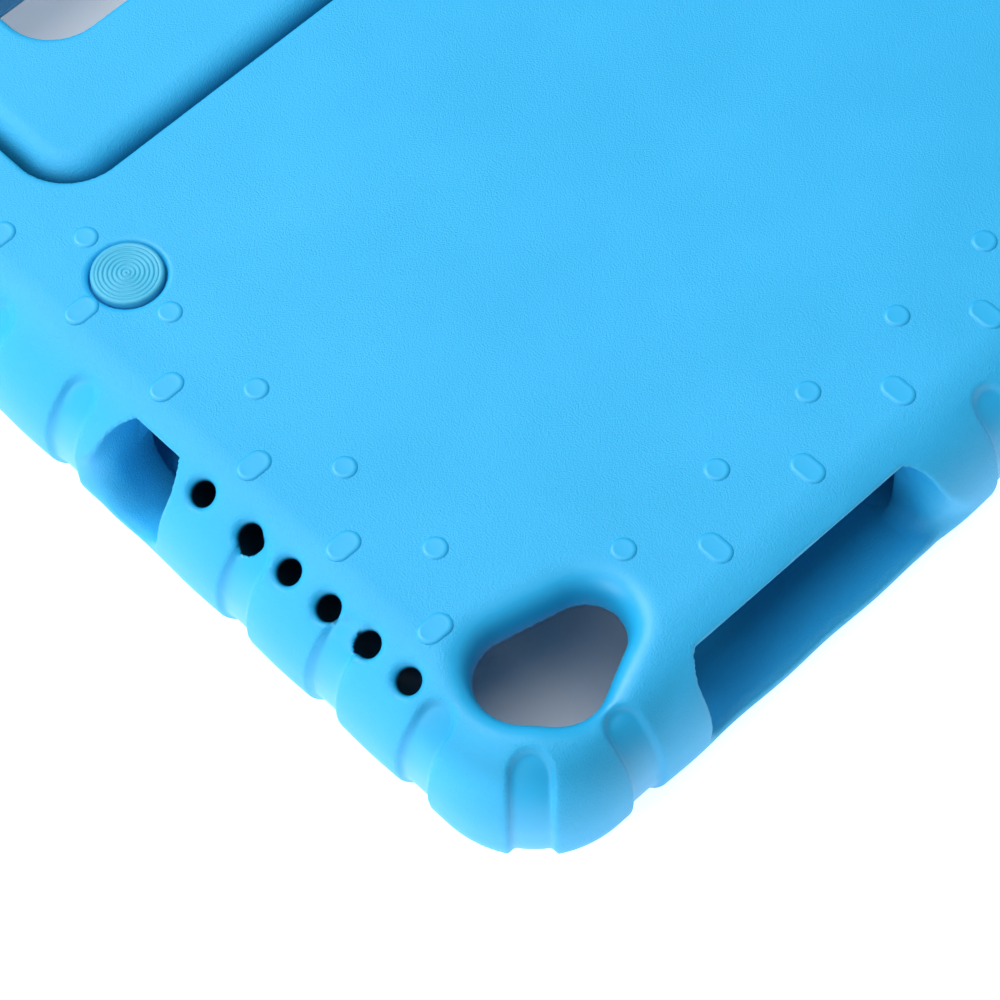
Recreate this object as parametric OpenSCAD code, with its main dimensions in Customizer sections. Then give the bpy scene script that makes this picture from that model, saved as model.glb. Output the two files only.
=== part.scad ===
// Foam bumper case for an eleven-inch tablet, lying on its front rim.
// X runs along the long side, Y along the short side, and +Z is the outward
// normal of the back face. The origin is the centre of the front rim's plane.
// The camera hole is at the corner (-X, -Y). The carry handle lies in a window
// of the back face and turns about a line parallel to X near the +Y edge.

/* [Bumper layout] */
// Spacing of the cross bands and dots along the long sides
pitch_x = 15.84; // [15.7:0.02:16]
// Spacing of the cross bands and dots along the short sides
pitch_y = 16; // [15.8:0.05:16.2]
// Distance from the row of round dots to the outer wall of a short side
inset_x = 20.7; // [20.2:0.1:21.5]
// Distance from the row of round dots to the outer wall of a long side
inset_y = 21.5; // [21:0.1:22]
// Width of a recessed cross band
band_w = 4.8; // [3.5:0.1:6]
// Depth of a recessed cross band
band_depth = 0.8; // [0.4:0.1:1]

/* [Shell] */
// Height of the case from the front rim to the back face
case_h = 23; // [22.5:0.1:24]
// Radius of the four corners, seen from the back
corner_r = 19; // [17:0.5:20]
// Radius of the shoulder between the back face and the bumper's widest line
shoulder_r = 11.5; // [10.5:0.5:11.5]
// Radius between that line and the flat front rim
foot_r = 10.5; // [9:0.5:10.5]
// Thickness of the back wall
back_t = 9; // [8.8:0.1:9.5]

/* [Tablet pocket] */
// Length of the tablet
tablet_l = 256.6; // [250:0.2:257]
// Width of the tablet
tablet_w = 167; // [160:0.5:167.5]
// Thickness of the tablet
tablet_t = 8; // [7:0.1:8.4]
// How far the front lip reaches over the tablet's glass
lip_w = 5; // [3:0.5:7]

/* [Openings] */
// Length of the button slot
slot_l = 40.6; // [36:0.2:41]
// Width of the port opening
port_w = 12.2; // [10:0.2:13]
// Diameter of a speaker hole
speaker_d = 3.1; // [2.4:0.1:3.6]
// Number of speaker holes
speaker_count = 6; // [4:1:6]

/* [Handle] */
// Overall length of the handle along X
handle_l = 233.2; // [231:0.2:234]
// Width of each arm
arm_w = 13.1; // [12.6:0.1:13.6]
// Width of the grip bar
bar_w = 18.5; // [16:0.5:20]
// Corner radius of the handle, outside and inside
handle_r = 7.5; // [6:0.5:8]
// Gap between the handle and the window around it
window_gap = 0.8; // [0.5:0.1:1]
// Width of the finger gap between the grip bar and the back wall
finger_gap = 15; // [13:0.5:17]
// Distance from the hinge axis to the outer wall
hinge_inset = 13.5; // [13:0.25:14]

/* [Buttons] */
// Diameter of the ringed plug on each short side
plug_d = 9.4; // [9:0.1:10.4]

/* [Hidden] */
$fn = 48;
eps = 0.01;
far = 400;                       // longer than any part of the case

foam_blue = [0.32, 0.77, 0.99];
plug_blue = [0.34, 0.74, 0.88];
core_grey = [0.25, 0.28, 0.32];
steel = [0.72, 0.73, 0.75];

count_x = 15;                    // band spacings along a long side
count_y = 9;                     // band spacings along a short side
row_l = count_x * pitch_x;       // length of the rows of round dots
row_w = count_y * pitch_y;
case_l = row_l + 2 * inset_x;
case_w = row_w + 2 * inset_y;

pocket_top = case_h - back_t;    // plane of the tablet's back
pocket_z = pocket_top - tablet_t;
pocket_r = 9;

// Dots on the back face
dot_r = 1.45;
dot_h = 0.5;
oval_shift = 7.6;                // from the round row out to the oval row
oval_reach = 0.8;                // half of an oval's straight length

// Bands run from the front rim up to this distance inside the outer wall
band_reach = 7.3;
corner_band_w = 5.2;

// Camera hole: three lobes [x, y, radius], counter-clockwise from the left one,
// in a frame whose origin is the dot rows' crossing
lobes = [[-3.3, -3.1, 6.5], [-1.2, -5.4, 6.5], [5.6, -3.9, 5.05]];
lobe_flare = 2.8;                // how much wider the mouth is than the hole
flare_h = 3.5;
relief_mid = [2.3, -2.4];        // the inside is thinned around the hole
relief_size = [23, 17.6];
relief_r = 5;
camera_wall = 5;                 // thickness that is left there

// Button slot in the -Y wall and port in the -X wall
slot_start = 10.6;               // from the dot rows' crossing
port_mid = 51.9;                 // from the dot rows' crossing
slot_top = case_h - 1.5;
port_top = case_h - 0.8;
slot_rise = 2.2;                 // of their floor, from the pocket outwards
slot_corner_r = 3;
port_corner_r = 4;
slot_x0 = slot_start - row_l / 2;
port_y = port_mid - row_w / 2;

// Speaker holes along the shoulder of the -X side
speaker_first = 6;               // from the dot rows' crossing
speaker_step = 7;
speaker_last_gap = 8.5;          // the hole beside the port stands apart
speaker_inset = 6.3;             // centre of a mouth, in from the outer wall
speaker_drop = 1.25;             // and down from the back face
speaker_tilt = 29;               // of the holes' axes, from upright

// Handle, in the closed position
handle_near = 14.8;              // Y of the grip bar's near edge
hinge_y = case_w / 2 - hinge_inset;
knuckle_r = 4.4;
hinge_z = case_h - knuckle_r;
handle_z = hinge_z - knuckle_r + 0.4;
handle_h = case_h - handle_z;
arm_end = hinge_y - knuckle_r - 0.8;
inner_l = handle_l - 2 * arm_w;
bar_far = handle_near + bar_w;
island_near = bar_far + finger_gap;
hinge_x = (handle_l - arm_w) / 2;
notch_floor = pocket_top - 0.1;

// Plastic core inside the handle's foam
core_w = 7;
core_bar_w = 12;
core_h = 4;

// Hinge hardware, measured outwards along X from the middle of an arm
notch_half = arm_w / 2 + window_gap;
ear_t = 2.4;
ear_out = notch_half + ear_t;
pin_r = 1.5;
pin_clearance = 0.05;
bush_r = 2.4;
head_r = 2.75;
head_t = 2;
nut_flats = 5.5;
nut_t = 2.4;
washer_t = 0.5;
washer_r = 3.4;
base_t = 2;
base_y = [tablet_w / 2 + 1.1, tablet_w / 2 + 5.4];
base_top = notch_floor;
screw_y = (base_y[0] + base_y[1]) / 2;
screw_r = 0.9;
screw_head_r = 1.7;
screw_spread = 3.2;
anchor_z = 3.4;
anchor_t = 1.8;
cover_t = 1.2;
cover_out = ear_out + 4.4;
cover_half_y = 3.6;

// Plug and its retainer
plug_head_t = 1.8;
plug_proud = 0.5;
plug_seat_r = plug_d / 2 + 0.25;
plug_stem_r = 2.4;
retainer_r = 4.4;
retainer_t = 1.2;

// Rectangle with rounded corners, centred on the origin
module rounded_rect(l, w, r) {
    square([l - 2 * r, w], center = true);
    square([l, w - 2 * r], center = true);
    for (sx = [-1, 1], sy = [-1, 1])
        translate([sx * (l / 2 - r), sy * (w / 2 - r)]) circle(r);
}

// Where the outer tangent from circle p to circle q, each [x, y, radius], touches
// circle c, which is one of the two. The circles' middles lie to its left. The
// point is a hair inside the circle, so that the line and the arc cross cleanly
function tangent_point(p, q, c) = let(
    d = norm([q[0] - p[0], q[1] - p[1]]),
    a = atan2(q[1] - p[1], q[0] - p[0]) - acos((p[2] - q[2]) / d),
    r = 0.9995 * c[2]
) [c[0] + r * cos(a), c[1] + r * sin(a)];

// Outline drawn tightly around circles that are listed counter-clockwise
module lobed_outline(circles) {
    for (c = circles) translate([c[0], c[1]]) circle(c[2]);
    polygon([
        for (k = [0 : len(circles) - 1]) let(p = circles[k], q = circles[(k + 1) % len(circles)])
            each [tangent_point(p, q, p), tangent_point(p, q, q)]
    ]);
}

// Section of the outer edge: x = 0 is r inside the outer wall
module edge_section(r, h, top_r, bottom_r) {
    module quarter(radius) {
        intersection() {
            circle(radius);
            square(radius);
        }
    }
    square([r - top_r, h]);
    square([r - bottom_r, h - top_r]);
    translate([0, bottom_r]) square([r, h - top_r - bottom_r]);
    translate([r - bottom_r, bottom_r]) mirror([0, 1]) quarter(bottom_r);
    translate([r - top_r, h - top_r]) quarter(top_r);
}

// Block with rounded corners, a rounded back edge and a rounded front edge
module rounded_slab(l, w, h, r, top_r, bottom_r) {
    module bar(length, width) {
        rotate([90, 0, 90]) linear_extrude(length, center = true) {
            square_w = width - 2 * r;
            translate([-square_w / 2, 0]) square([square_w, h]);
            for (s = [0, 1]) mirror([s, 0])
                translate([square_w / 2, 0]) edge_section(r, h, top_r, bottom_r);
        }
    }
    bar(l - 2 * r, w);
    rotate(90) bar(w - 2 * r, l);
    for (sx = [-1, 1], sy = [-1, 1])
        translate([sx * (l / 2 - r), sy * (w / 2 - r), 0])
            rotate_extrude() edge_section(r, h, top_r, bottom_r);
}

// Every place along one side where a band crosses the bumper
function band_places(count, pitch) = [for (k = [0 : count]) (k - count / 2) * pitch];

// Cutter for one straight band: what lies outside the sunk edge section
module band_cutter(w) {
    inner = 2 * shoulder_r;
    rotate([90, 0, 0]) linear_extrude(w, center = true) difference() {
        translate([-band_reach, -1]) square([band_reach + 2, case_h + 2]);
        translate([-inner - band_depth, band_depth]) edge_section(
            inner, case_h - 2 * band_depth, shoulder_r - band_depth, foot_r - band_depth);
    }
}

// True where a band would run into the button slot, the port or a hinge notch
function band_is_free_x(x, s) = s > 0
    ? abs(abs(x) - hinge_x) > notch_half + band_w / 2 + 0.5
    : x < slot_x0 - band_w / 2 || x > slot_x0 + slot_l + band_w;
function band_is_free_y(y, s) = s > 0 || abs(y - port_y) > port_w / 2 + band_w / 2;

module band_cutters() {
    for (s = [-1, 1], x = band_places(count_x, pitch_x))
        if (band_is_free_x(x, s))
            translate([x, s * case_w / 2, 0]) rotate(s * 90) band_cutter(band_w);
    for (s = [-1, 1], y = band_places(count_y, pitch_y))
        if (band_is_free_y(y, s))
            translate([s * case_l / 2, y, 0]) rotate(s > 0 ? 0 : 180) band_cutter(band_w);
    for (sx = [-1, 1], sy = [-1, 1]) {
        translate([sx * (case_l / 2 - corner_r), sy * (case_w / 2 - corner_r), 0])
            rotate(atan2(sy, sx)) translate([corner_r, 0, 0]) band_cutter(corner_band_w);
    }
}

module round_dot() {
    translate([0, 0, -eps]) cylinder(h = dot_h + eps, r = dot_r);
}

module oval_dot() {
    translate([0, 0, -1]) linear_extrude(dot_h + 1) {
        square([2 * oval_reach, 2 * dot_r], center = true);
        for (s = [-1, 1]) translate([s * oval_reach, 0]) circle(dot_r);
    }
}

// A round dot is left out at the camera hole, beside the handle and at a hinge
function round_is_free(x, y) =
    !(x < 1 - row_l / 2 && y < 1 - row_w / 2)
    && (y < handle_near - 2 * dot_r || abs(x) < row_l / 2 - 1)
    && !(y > row_w / 2 - 1 && abs(abs(x) - hinge_x) < cover_out);

function oval_is_free(x, s) = s < 0 || abs(abs(x) - hinge_x) > notch_half + 2 * dot_r;

module dots() {
    places_x = band_places(count_x, pitch_x);
    places_y = band_places(count_y, pitch_y);
    translate([0, 0, case_h]) {
        for (s = [-1, 1], x = places_x)
            if (round_is_free(x, s * row_w / 2)) translate([x, s * row_w / 2, 0]) round_dot();
        for (s = [-1, 1], k = [1 : count_y - 1])
            if (round_is_free(s * row_l / 2, places_y[k]))
                translate([s * row_l / 2, places_y[k], 0]) round_dot();
        for (s = [-1, 1], k = [1 : count_x - 2]) {
            x = places_x[k] + pitch_x / 2;
            if (oval_is_free(x, s))
                translate([x, s * (row_w / 2 + oval_shift), 0]) rotate(90) oval_dot();
        }
        for (s = [-1, 1], k = [0 : count_y - 1])
            translate([s * (row_l / 2 + oval_shift), places_y[k] + pitch_y / 2, 0]) oval_dot();
    }
}

// Window in the back wall: the handle's outline, the finger gap and the notches
module handle_window() {
    outer = handle_l + 2 * window_gap;
    near = handle_near - window_gap;
    r = handle_r + window_gap;
    span = case_w / 2 + 1 - near;
    difference() {
        translate([0, near + span / 2 + r / 2, 0]) square([outer, span - r], center = true);
        translate([0, island_near + far / 2])
            square([inner_l - 2 * window_gap, far], center = true);
    }
    translate([0, near + r]) square([outer - 2 * r, 2 * r], center = true);
    for (s = [-1, 1]) translate([s * (outer / 2 - r), near + r]) circle(r);
}

module camera_opening() {
    translate([-row_l / 2, -row_w / 2, 0]) {
        translate([0, 0, pocket_top - 1]) linear_extrude(back_t + 2) lobed_outline(lobes);
        translate([relief_mid[0], relief_mid[1], pocket_top - 1])
            linear_extrude(back_t - camera_wall + 1)
                rounded_rect(relief_size[0], relief_size[1], relief_r);
        hull() for (lobe = lobes)
            translate([lobe[0], lobe[1], case_h - flare_h])
                cylinder(h = flare_h + 1, r1 = lobe[2], r2 = lobe[2] + lobe_flare, $fn = 32);
    }
}

// Distance in from the outer wall at which the shoulder has this height
function shoulder_inset(z) =
    shoulder_r - sqrt(pow(shoulder_r, 2) - pow(z - case_h + shoulder_r, 2));

// Slot through a wall whose outer face is at y = 0, with the pocket at +Y. Its
// floor is the back of the front lip, and its ceiling slopes up to the shoulder
module side_slot(length, wall, top, r) {
    bottom = pocket_z - 0.5;
    intersection() {
        rotate([90, 0, 90]) linear_extrude(length + 2, center = true) polygon([
            [wall + 1, pocket_z], [wall, pocket_z], [-1, pocket_z + slot_rise * (1 + 1 / wall)],
            [-1, case_h], [shoulder_inset(top) - 1, case_h], [wall + 1, pocket_top - 1],
        ]);
        translate([0, 0, (bottom + top) / 2]) rotate([90, 0, 0])
            linear_extrude(far, center = true) rounded_rect(length, top - bottom, r);
    }
}

module side_slots() {
    translate([slot_x0 + slot_l / 2, -case_w / 2, 0])
        side_slot(slot_l, (case_w - tablet_w) / 2, slot_top, slot_corner_r);
    translate([-case_l / 2, port_y, 0]) rotate(-90)
        side_slot(port_w, (case_l - tablet_l) / 2, port_top, port_corner_r);
}

// Speaker holes, slanting from the shoulder into the pocket
module speaker_holes() {
    for (k = [0 : speaker_count - 1]) {
        extra = k < speaker_count - 1 ? 0 : speaker_last_gap - speaker_step;
        translate([
            -case_l / 2 + speaker_inset,
            -row_w / 2 + speaker_first + k * speaker_step + extra,
            case_h - speaker_drop,
        ]) rotate([0, 180 - speaker_tilt, 0])
            translate([0, 0, -3]) cylinder(h = 16, d = speaker_d);
    }
}

module case_shell() {
    color(foam_blue) difference() {
        union() {
            rounded_slab(case_l, case_w, case_h, corner_r, shoulder_r, foot_r);
            dots();
        }
        band_cutters();
        translate([0, 0, pocket_z])
            linear_extrude(tablet_t) rounded_rect(tablet_l, tablet_w, pocket_r);
        translate([0, 0, -1]) linear_extrude(pocket_z + 2)
            rounded_rect(tablet_l - 2 * lip_w, tablet_w - 2 * lip_w, pocket_r);
        translate([0, 0, notch_floor]) linear_extrude(far) handle_window();
        camera_opening();
        side_slots();
        speaker_holes();
        for (s = [0, 1]) mirror([s, 0, 0]) {
            hinge_bracket_form();
            hinge_cover_pockets();
            anchor_form();
            bracket_screw_form(0);
            plug_seat();
        }
    }
}

// Plan of the handle's U: the arms end short of the knuckles
module handle_plan(edge_l, side_w, near, bar, r) {
    difference() {
        union() {
            translate([-edge_l / 2, near + r]) square([edge_l, arm_end - near - r]);
            translate([-edge_l / 2 + r, near]) square([edge_l - 2 * r, 2 * r]);
            for (s = [-1, 1]) translate([s * (edge_l / 2 - r), near + r]) circle(r);
        }
        inner = edge_l - 2 * side_w;
        translate([-inner / 2, near + bar + r]) square([inner, far]);
        translate([-inner / 2 + r, near + bar]) square([inner - 2 * r, far]);
        for (s = [-1, 1]) translate([s * (inner / 2 - r), near + bar + r]) circle(r);
    }
}

module core_bar_and_arms() {
    near = handle_near + (bar_w - core_bar_w) / 2;
    translate([0, 0, hinge_z - core_h / 2]) linear_extrude(core_h)
        handle_plan(handle_l - arm_w + core_w, core_w, near, core_bar_w, handle_r - 3);
}

module handle_foam() {
    color(foam_blue) difference() {
        translate([0, 0, handle_z]) linear_extrude(handle_h)
            handle_plan(handle_l, arm_w, handle_near, bar_w, handle_r);
        core_bar_and_arms();
    }
}

module handle_core() {
    color(core_grey) difference() {
        union() {
            core_bar_and_arms();
            for (s = [-1, 1]) translate([s * hinge_x, 0, 0]) {
                translate([0, hinge_y, hinge_z]) rotate([0, 90, 0])
                    cylinder(h = arm_w, r = knuckle_r, center = true);
                translate([-core_w / 2, arm_end - eps, hinge_z - core_h / 2])
                    cube([core_w, hinge_y - arm_end, core_h]);
            }
        }
        for (s = [-1, 1]) translate([s * hinge_x, hinge_y, hinge_z]) rotate([0, 90, 0])
            cylinder(h = arm_w + 1, r = bush_r, center = true);
    }
}

// The hinge at the -X arm. The mirrored copy serves the +X arm.
module at_hinge_axis() {
    translate([-hinge_x, hinge_y, hinge_z]) rotate([0, 90, 0]) children();
}

module hinge_bracket_form() {
    translate([-hinge_x, 0, 0]) {
        for (s = [-1, 1]) translate([s * (notch_half + ear_t / 2), 0, 0]) {
            translate([0, hinge_y, hinge_z]) rotate([0, 90, 0])
                cylinder(h = ear_t, r = cover_half_y, center = true);
            translate([-ear_t / 2, hinge_y, hinge_z - cover_half_y])
                cube([ear_t, base_y[1] - hinge_y - 1, cover_half_y]);
            translate([-ear_t / 2, base_y[0], base_top - base_t])
                cube([ear_t, base_y[1] - base_y[0] - 1, hinge_z - base_top]);
        }
        translate([-ear_out, base_y[0], base_top - base_t])
            cube([2 * ear_out, base_y[1] - base_y[0], base_t]);
    }
}

module hinge_bracket() {
    color(core_grey) difference() {
        hinge_bracket_form();
        at_hinge_axis() cylinder(h = far, r = pin_r, center = true);
        bracket_screw_form(0);
    }
}

// Two screws, heads up, through the bracket's base into the anchor plate
module bracket_screw_form(gap) {
    for (s = [-1, 1]) translate([-hinge_x + s * screw_spread, screw_y, 0]) {
        translate([0, 0, anchor_z])
            cylinder(h = base_top - anchor_z, r = screw_r + gap);
        translate([0, 0, base_top - 1]) cylinder(h = 1, r = screw_head_r + gap);
    }
}

module anchor_form() {
    translate([-hinge_x - ear_out, base_y[0], anchor_z])
        cube([2 * ear_out, base_y[1] - base_y[0], anchor_t]);
}

module anchor_plate() {
    color(core_grey) difference() {
        anchor_form();
        bracket_screw_form(0);
    }
}

module bracket_screws() {
    color(steel) bracket_screw_form(0);
}

module hinge_pin() {
    color(steel) at_hinge_axis() {
        translate([0, 0, -ear_out]) cylinder(h = 2 * ear_out + nut_t, r = pin_r);
        translate([0, 0, -ear_out - head_t]) cylinder(h = head_t, r = head_r);
    }
}

module hinge_nut() {
    color(steel) at_hinge_axis() translate([0, 0, ear_out]) difference() {
        rotate(30) cylinder(h = nut_t, d = nut_flats / cos(30), $fn = 6);
        translate([0, 0, -1]) cylinder(h = nut_t + 2, r = pin_r);
    }
}

// One washer on each side of the knuckle, against the bracket's ears
module friction_washers() {
    color(steel) at_hinge_axis() for (s = [-1, 1])
        translate([0, 0, s * (notch_half - washer_t / 2)]) difference() {
            cylinder(h = washer_t, r = washer_r, center = true);
            cylinder(h = washer_t + 1, r = pin_r, center = true);
        }
}

module hinge_bush() {
    color("ivory") at_hinge_axis() difference() {
        cylinder(h = arm_w, r = bush_r, center = true);
        cylinder(h = arm_w + 1, r = pin_r + pin_clearance, center = true);
    }
}

// One block beside each ear, around the pin's head and around its nut
module beside_ears(z, h) {
    for (x = [-cover_out, ear_out])
        translate([x - hinge_x, hinge_y - cover_half_y, z])
            cube([cover_out - ear_out, 2 * cover_half_y, h]);
}

module hinge_cover_pockets() {
    beside_ears(pocket_top + 1, back_t);
}

module hinge_covers() {
    color(plug_blue) beside_ears(case_h - cover_t - 0.3, cover_t);
}

// Seat for the plug's head, its stem and, from the pocket side, its retainer
module plug_seat() {
    translate([-row_l / 2, 0, 0]) {
        translate([0, 0, case_h + plug_proud - plug_head_t]) cylinder(h = 5, r = plug_seat_r);
        translate([0, 0, pocket_top - 1]) {
            cylinder(h = back_t, r = plug_stem_r);
            cylinder(h = retainer_t + 1.2, r = retainer_r);
        }
    }
}

module strap_plug() {
    ring_step = plug_d / 2 / 7;
    color(plug_blue) translate([-row_l / 2, 0, 0]) {
        difference() {
            translate([0, 0, case_h + plug_proud - plug_head_t])
                cylinder(h = plug_head_t, d = plug_d);
            for (k = [1 : 6]) translate([0, 0, case_h + plug_proud - 0.25]) difference() {
                cylinder(h = 1, r = k * ring_step + 0.12);
                translate([0, 0, -1]) cylinder(h = 3, r = k * ring_step - 0.12);
            }
        }
        translate([0, 0, pocket_top + 0.2])
            cylinder(h = back_t - plug_head_t + plug_proud - 0.2, r = plug_stem_r);
    }
}

module plug_retainer() {
    color(core_grey) translate([-row_l / 2, 0, pocket_top + 0.2]) difference() {
        cylinder(h = retainer_t, r = retainer_r);
        translate([0, 0, -1]) cylinder(h = retainer_t + 2, r = plug_stem_r);
    }
}

module right_side() {
    mirror([1, 0, 0]) children();
}

case_shell();
handle_foam();
handle_core();
hinge_bracket();  // hinge_bracket_left
right_side() hinge_bracket();  // hinge_bracket_right
anchor_plate();  // anchor_plate_left
right_side() anchor_plate();  // anchor_plate_right
bracket_screws();  // bracket_screws_left
right_side() bracket_screws();  // bracket_screws_right
hinge_pin();  // hinge_pin_left
right_side() hinge_pin();  // hinge_pin_right
hinge_nut();  // hinge_nut_left
right_side() hinge_nut();  // hinge_nut_right
friction_washers();  // friction_washers_left
right_side() friction_washers();  // friction_washers_right
hinge_bush();  // hinge_bush_left
right_side() hinge_bush();  // hinge_bush_right
hinge_covers();  // hinge_covers_left
right_side() hinge_covers();  // hinge_covers_right
strap_plug();  // strap_plug_left
right_side() strap_plug();  // strap_plug_right
plug_retainer();  // plug_retainer_left
right_side() plug_retainer();  // plug_retainer_right
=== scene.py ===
"""Looks of a foam tablet case with a fold-out handle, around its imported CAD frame.

Shapes are modelled in millimetres as signed distance fields and meshed with a
surface net. X runs along the case, Y across it and Z up from the front rim.
"""
import math
from collections import namedtuple

import bmesh
import bpy
import numpy as np
from mathutils import Matrix, Vector


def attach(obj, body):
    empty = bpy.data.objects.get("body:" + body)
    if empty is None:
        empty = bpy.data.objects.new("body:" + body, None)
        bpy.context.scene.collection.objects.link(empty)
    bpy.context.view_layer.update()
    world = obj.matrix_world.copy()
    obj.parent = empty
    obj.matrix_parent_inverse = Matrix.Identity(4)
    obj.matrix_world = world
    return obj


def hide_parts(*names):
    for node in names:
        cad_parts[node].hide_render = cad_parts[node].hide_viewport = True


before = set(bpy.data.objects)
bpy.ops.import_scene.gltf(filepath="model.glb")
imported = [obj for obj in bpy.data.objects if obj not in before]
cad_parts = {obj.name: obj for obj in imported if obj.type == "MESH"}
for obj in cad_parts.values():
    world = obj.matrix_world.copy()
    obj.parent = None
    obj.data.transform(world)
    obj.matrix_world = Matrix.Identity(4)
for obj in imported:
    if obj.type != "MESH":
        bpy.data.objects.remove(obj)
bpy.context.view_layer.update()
MM = 0.001

# ---------------------------------------------------------------- dimensions, mm
PITCH_X, PITCH_Y = 15.84, 16.0        # spacing of the bands and dots
COUNT_X, COUNT_Y = 15, 9
ROW_X = COUNT_X * PITCH_X / 2         # half sides of the rectangle of round dots
ROW_Y = COUNT_Y * PITCH_Y / 2
HALF_L = ROW_X + 19.7                 # half the case's length and width
HALF_W = ROW_Y + 20.5
HEIGHT = 23.0
CORNER_R, SHOULDER_R, FOOT_R = 15.0, 11.5, 10.5

POCKET_HALF = (128.3, 83.5)           # room for the tablet
POCKET_Z = (6.0, 14.0)
POCKET_R = 9.0
LIP = 5.0                             # of foam over the edge of the screen
SCREEN_TOP = 7.5                      # how far up the screen opening is cut

BAND_W, CORNER_BAND_W = 4.8, 5.2
BAND_DEPTH = 0.85
BAND_REACH = 6.6                      # how far a band comes in over the shoulder
CORNER_BAND_REACH = 7.0
PILLOW = 0.18                         # how much a pad bulges between its bands

DOT_R, DOT_SEGMENTS = 1.5, 32
# of a dot, from its hidden foot towards its middle: (beyond DOT_R, above the back)
DOT_PROFILE = (
    (0.16, -0.4), (0.16, 0.0), (0.10, 0.08), (-0.02, 0.16), (-0.18, 0.21), (-0.36, 0.225),
    (-0.54, 0.21), (-0.82, 0.20))
OVAL_SHIFT, OVAL_REACH = 7.6, 0.75    # out from the round dots, and half the stretch
HINGE_CLEAR, HINGE_CLEAR_OVAL = 14.2, 10.3    # no dot is nearer to a hinge along X

# lobes (x, y, radius) of the camera hole, from the crossing of the rows of dots
LOBES = ((-3.3, -3.1, 6.5), (-1.2, -5.4, 6.5), (5.6, -3.9, 5.05))
RELIEF_MID, RELIEF_HALF, RELIEF_R = (2.3, -2.4), (11.5, 8.8), 5.0
RELIEF_Z = 18.0
FUNNEL_SOFT = 4.6                     # rounding of the camera hole's mouth

# openings through a side wall: middle and half length along it, top, rounding at the
# lip, and how far the end at positive along is flared
Opening = namedtuple("Opening", "mid half top foot_r flare")
SLOT = Opening(10.6 - ROW_X + 20.3, 20.3, 21.5, 2.6, 3.6)
PORT = Opening(51.9 - ROW_Y, 6.1, 22.2, 5.5, 3.8)
SLOT_END_R = 4.0
SLOT_RISE = 2.2                       # of their floor, from the pocket outwards
SPEAKER_R, SPEAKER_COUNT = 1.6, 6
SPEAKER_FIRST, SPEAKER_STEP, SPEAKER_LAST_GAP = 6.0, 7.0, 8.5
SPEAKER_INSET, SPEAKER_DROP = 5.5, 1.7
SPEAKER_TILT = math.radians(29)       # of the holes' axes, from upright
SPEAKER_WIDENING, SPEAKER_DEPTH = 0.8, 13

HANDLE_HALF, ARM_W, BAR_W, HANDLE_R = 116.6, 13.1, 18.5, 7.5
HANDLE_NEAR, HANDLE_GAP = 14.8, 0.8
FINGER_GAP = 15.0
HINGE_Y, HINGE_X = 80.0, (2 * HANDLE_HALF - ARM_W) / 2
HANDLE_Z = 14.6                       # underside of the handle
ARM_END = 74.8
HANDLE_ROUND, HANDLE_FOOT_R, GRIP_HOLE_R = 4.5, 1.5, 1.2
ISLAND_NEAR = HANDLE_NEAR + BAR_W + FINGER_GAP
ISLAND_HALF = HANDLE_HALF - ARM_W - HANDLE_GAP
NOTCH_FLOOR = 13.9
CORE_W, CORE_BAR_W, CORE_H = 7.0, 12.0, 4.0
CORE_Z = HEIGHT - 4.4

# rooms cut for the hinge, as boxes (low, high) from its middle along X: the bracket's
# base, the anchor plate, and the two ears and two pin ends as (inner, outer) along X
BASE_ROOM = ((-9.9, 84.45, 11.75), (9.9, 89.05, 14.05))
PLATE_ROOM = ((-9.9, 84.45, 3.25), (9.9, 89.05, 5.35))
EAR_X, EAR_Y, EAR_Z = (7.2, 9.9), (76.2, 88.05), (14.85, 22.3)
PIN_END_X, PIN_END_Y, PIN_END_Z = (9.7, 14.25), (76.3, 83.7), (14.9, 30)
COVER_X, COVER_W, COVER_H, COVER_Z = (9.75, 14.15), 7.2, 1.2, 22.1

PLUG_R, PLUG_SEAT_R, PLUG_SEAT_Z = 4.7, 4.95, 21.6
PLUG_TOP, PLUG_HEAD_H = 0.5, 1.8      # above the back, and thickness of the head
RING_COUNT, RING_DEPTH = 8, 0.14
STEM_R, STEM_HOLE_R, STEM_FOOT = 2.4, 2.45, 14.2
RETAINER_ROOM_R, RETAINER_ROOM_TOP = 4.5, 15.4

SHELL_TRIANGLES, HANDLE_TRIANGLES = 150000, 90000
FOAM_SHARP_ANGLE = 50

# camera, solved from the dots: direction from its target, then roll, in degrees
CAMERA_AZIMUTH, CAMERA_ELEVATION, CAMERA_ROLL = -41.23, 58.62, -3.085
CAMERA_TARGET = (-108.626, -56.626, HEIGHT)
CAMERA_DISTANCE = 0.49507
CAMERA_LENS, CAMERA_SENSOR = 148.05, 36

# lights: name, place and size in metres, power in watts
LIGHT_AIM = (-0.08, -0.03, 0.02)
LIGHTS = (
    ("key", (-0.25, 0.62, 0.92), 0.6, 9.8),
    ("fill", (-0.95, -0.03, 0.52), 0.6, 3.9),
    ("overhead", (-0.08, -0.03, 1.22), 0.8, 4.2))
WORLD_COLOUR, WORLD_STRENGTH = (0.96, 0.98, 1.0, 1), 0.2
FLOOR_HALF, FLOOR_DROP = 3.0, 0.0002  # metres


# ---------------------------------------------------------------- field helpers
def rounded_rect(x, y, half_x, half_y, r):
    """Signed distance to a rectangle with rounded corners, centred on the origin."""
    return corner(np.abs(x) - (half_x - r), np.abs(y) - (half_y - r)) - r


def corner(a, b):
    """Distance to the quadrant where both a and b are negative."""
    return np.hypot(np.maximum(a, 0), np.maximum(b, 0)) + np.minimum(np.maximum(a, b), 0)


def smooth_max(a, b, k):
    """The larger of two fields, with the edge between them rounded over a length k."""
    h = np.maximum(k - np.abs(a - b), 0) / k
    return np.maximum(a, b) + h * h * (k / 4)


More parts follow.
